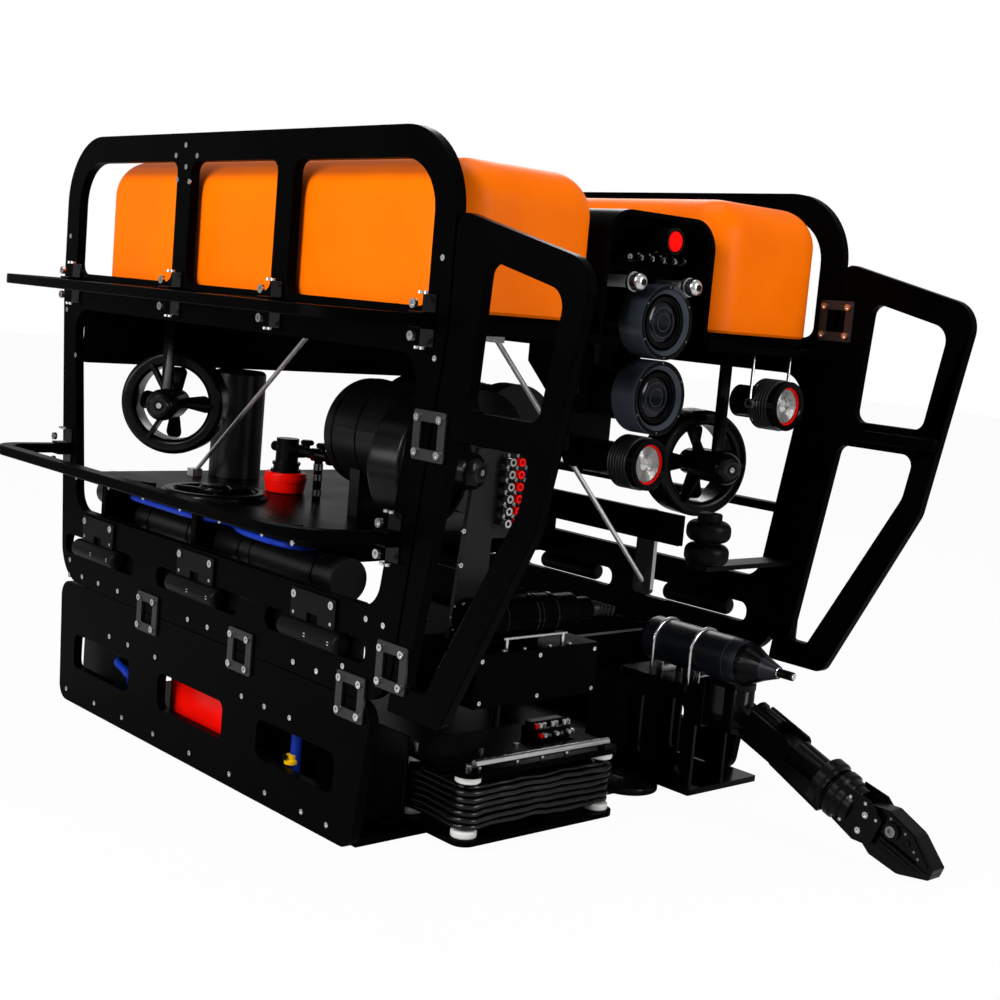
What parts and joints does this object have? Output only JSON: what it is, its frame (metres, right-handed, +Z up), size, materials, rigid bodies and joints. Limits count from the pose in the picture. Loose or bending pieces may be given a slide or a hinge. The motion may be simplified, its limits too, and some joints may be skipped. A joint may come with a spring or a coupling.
{
  "type": "underwater inspection vehicle",
  "caption": "Open-frame remotely operated underwater vehicle with floats, ducted thrusters, tilting cameras, lamps, bumper rails, work skid and a gripper arm.",
  "frame": {"origin": "on the underside of the skid floor, midway between the side plates, which is the middle of the length of the skid bay", "axes": "+X towards the bow (cameras and gripper), +Y to port, +Z up"},
  "size_m": [1.4836, 1.13, 1.002],
  "materials": {
    "black_sheet": "satin",
    "orange_foam": "semi-gloss skin",
    "stainless_steel": "polished",
    "red_plastic": "gloss",
    "black_anodised": "black anodised",
    "camera_shell": "dark blue-grey anodised",
    "beacon_shell": "satin",
    "laser_shell": "gloss white",
    "lamp_metal": "polished",
    "thruster_plastic": "satin",
    "propeller_plastic": "satin",
    "valve_body": "black",
    "grey_plate": "matt",
    "black_rubber": "matt",
    "blue_hose": "satin",
    "white_nylon": "satin"
  },
  "bodies": {
    "vehicle": {"side_plate_starboard": "black_sheet", "side_plate_port": "black_sheet", "skid_panel_starboard": "black_sheet", "skid_panel_port": "black_sheet", "guard_panel_starboard": "black_sheet", "guard_panel_port": "black_sheet", "bumper_rails_starboard": "black_sheet", "bumper_rails_port": "black_sheet", "float_deck": "black_sheet", "hood_shell": "black_sheet", "connector_panel": "black_sheet", "tilt_mount": "black_sheet", "mid_deck": "black_sheet", "cross_members": "black_sheet", "cable_tray": "black_sheet", "front_unit": "black_sheet", "float_starboard": "orange_foam", "float_port": "orange_foam", "splice_brackets": "stainless_steel", "rail_clamps": "stainless_steel", "stay_rods": "stainless_steel", "pod_mount": "stainless_steel", "valve_cap": "red_plastic", "tool_box": "red_plastic", "main_bottles": "black_anodised", "side_housings": "black_anodised", "arm_stand": "black_anodised", "arm_shoulder": "black_anodised", "beacon": "beacon_shell", "beacon_pod": "beacon_shell", "aiming_lasers": "laser_shell", "lamp_bail": "lamp_metal", "lift_thrusters": "thruster_plastic", "thruster_rear_starboard": "thruster_plastic", "thruster_rear_port": "thruster_plastic", "thruster_fore_starboard": "thruster_plastic", "thruster_fore_port": "thruster_plastic", "relief_valve": "valve_body", "terminal_plate": "grey_plate", "trim_weights": "black_rubber", "tray_cable": "black_rubber", "sonar_head": "black_rubber", "hoses": "blue_hose", "tray_bobbins": "white_nylon"},
    "propeller_rear_starboard": {"propeller_rear_starboard": "propeller_plastic"},
    "propeller_rear_port": {"propeller_rear_port": "propeller_plastic"},
    "propeller_fore_starboard": {"propeller_fore_starboard": "propeller_plastic"},
    "propeller_fore_port": {"propeller_fore_port": "propeller_plastic"},
    "propeller_lift_starboard": {"propeller_lift_starboard": "propeller_plastic"},
    "propeller_lift_port": {"propeller_lift_port": "propeller_plastic"},
    "tilt_unit": {"tilt_frame": "black_anodised", "camera_upper": "camera_shell", "camera_lower": "camera_shell", "lamp_centre": "black_anodised"},
    "port_lamp": {"lamp_port": "lamp_metal"},
    "upper_arm": {"arm_upper": "black_anodised"},
    "fore_arm": {"arm_fore": "black_anodised"},
    "wrist": {"wrist": "black_anodised"},
    "jaw_upper": {"jaw_upper": "black_anodised"},
    "jaw_lower": {"jaw_lower": "black_anodised"}
  },
  "joints": [
    {"name": "spin_rear_starboard", "type": "hinge", "parent": "vehicle", "child": "propeller_rear_starboard", "pos_m": [-0.35, -0.298, 0.556], "axis": [0.7071, -0.7071, 0], "continuous": true},
    {"name": "spin_fore_starboard", "type": "hinge", "parent": "vehicle", "child": "propeller_fore_starboard", "pos_m": [0.345, -0.298, 0.541], "axis": [0.9703, 0.2419, 0], "continuous": true},
    {"name": "spin_lift_starboard", "type": "hinge", "parent": "vehicle", "child": "propeller_lift_starboard", "pos_m": [-0.19, -0.306, 0.397], "axis": [0, 0, 1], "continuous": true},
    {"name": "spin_rear_port", "type": "hinge", "parent": "vehicle", "child": "propeller_rear_port", "pos_m": [-0.35, 0.298, 0.556], "axis": [0.7071, 0.7071, 0], "continuous": true},
    {"name": "spin_fore_port", "type": "hinge", "parent": "vehicle", "child": "propeller_fore_port", "pos_m": [0.345, 0.298, 0.541], "axis": [0.9703, -0.2419, 0], "continuous": true},
    {"name": "spin_lift_port", "type": "hinge", "parent": "vehicle", "child": "propeller_lift_port", "pos_m": [-0.19, 0.306, 0.397], "axis": [0, 0, 1], "continuous": true},
    {"name": "camera_tilt", "type": "hinge", "parent": "vehicle", "child": "tilt_unit", "pos_m": [0.4, 0, 0.66], "axis": [0, 1, 0], "range_deg": [-10, 14]},
    {"name": "lamp_tilt", "type": "hinge", "parent": "vehicle", "child": "port_lamp", "pos_m": [0.505, 0.275, 0.656], "axis": [0, 1, 0], "range_deg": [-30, 30]},
    {"name": "arm_yaw", "type": "hinge", "parent": "vehicle", "child": "upper_arm", "pos_m": [0.54, 0.24, 0.17], "axis": [0, 0, 1], "range_deg": [-30, 30]},
    {"name": "arm_elbow", "type": "hinge", "parent": "upper_arm", "child": "fore_arm", "pos_m": [0.64269, 0.24, 0.13058], "axis": [0, 1, 0], "range_deg": [-20, 3]},
    {"name": "wrist_roll", "type": "hinge", "parent": "fore_arm", "child": "wrist", "pos_m": [0.74539, 0.24, 0.09116], "axis": [0.9336, 0, -0.3584], "continuous": true},
    {"name": "jaw_upper_swing", "type": "hinge", "parent": "wrist", "child": "jaw_upper", "pos_m": [0.81604, 0.24, 0.07904], "axis": [0, 1, 0], "range_deg": [-35, 0]},
    {"name": "jaw_lower_swing", "type": "hinge", "parent": "wrist", "child": "jaw_lower", "pos_m": [0.806, 0.24, 0.0529], "axis": [0, 1, 0], "range_deg": [0, 35]}
  ],
  "couplings": [
    {"joint": "jaw_lower_swing", "follows": "jaw_upper_swing", "ratio": -1}
  ]
}
